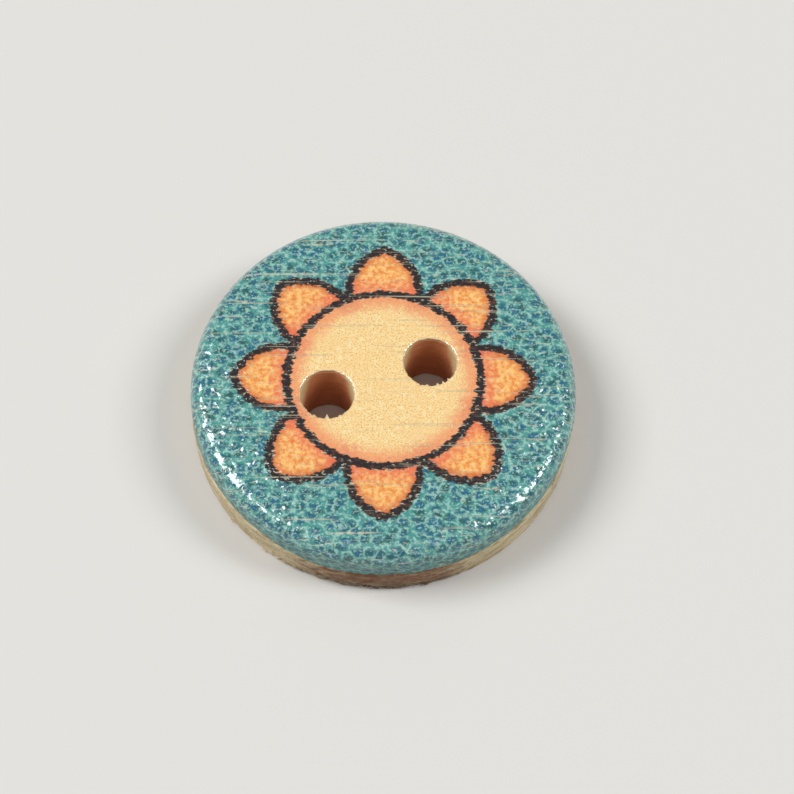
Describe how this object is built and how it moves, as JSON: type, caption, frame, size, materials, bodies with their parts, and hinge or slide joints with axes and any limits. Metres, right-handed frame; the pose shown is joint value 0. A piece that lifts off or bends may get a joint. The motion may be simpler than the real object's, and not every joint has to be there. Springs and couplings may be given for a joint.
{
  "type": "printed wooden sew-through button",
  "caption": "Round turned-wood sewing button with a rounded shoulder, drilled thread holes and a lacquered daisy print, to be sewn to cloth.",
  "frame": {"origin": "middle of the flat back face", "axes": "+Z out of the printed face, +X along the line through the two thread holes"},
  "size_m": [0.015, 0.015, 0.003],
  "materials": {
    "wood": "bare pale wood, sanded, satin",
    "teal_print": "mottled print under gloss lacquer",
    "dark_print": "ragged printed line under gloss lacquer",
    "orange_print": "mottled print under gloss lacquer",
    "cream_print": "speckled print under gloss lacquer"
  },
  "bodies": {
    "root": {"wood_disc": "wood", "print_ground": "teal_print", "print_outline": "dark_print", "print_petals": "orange_print", "print_heart": "cream_print"}
  },
  "joints": []
}
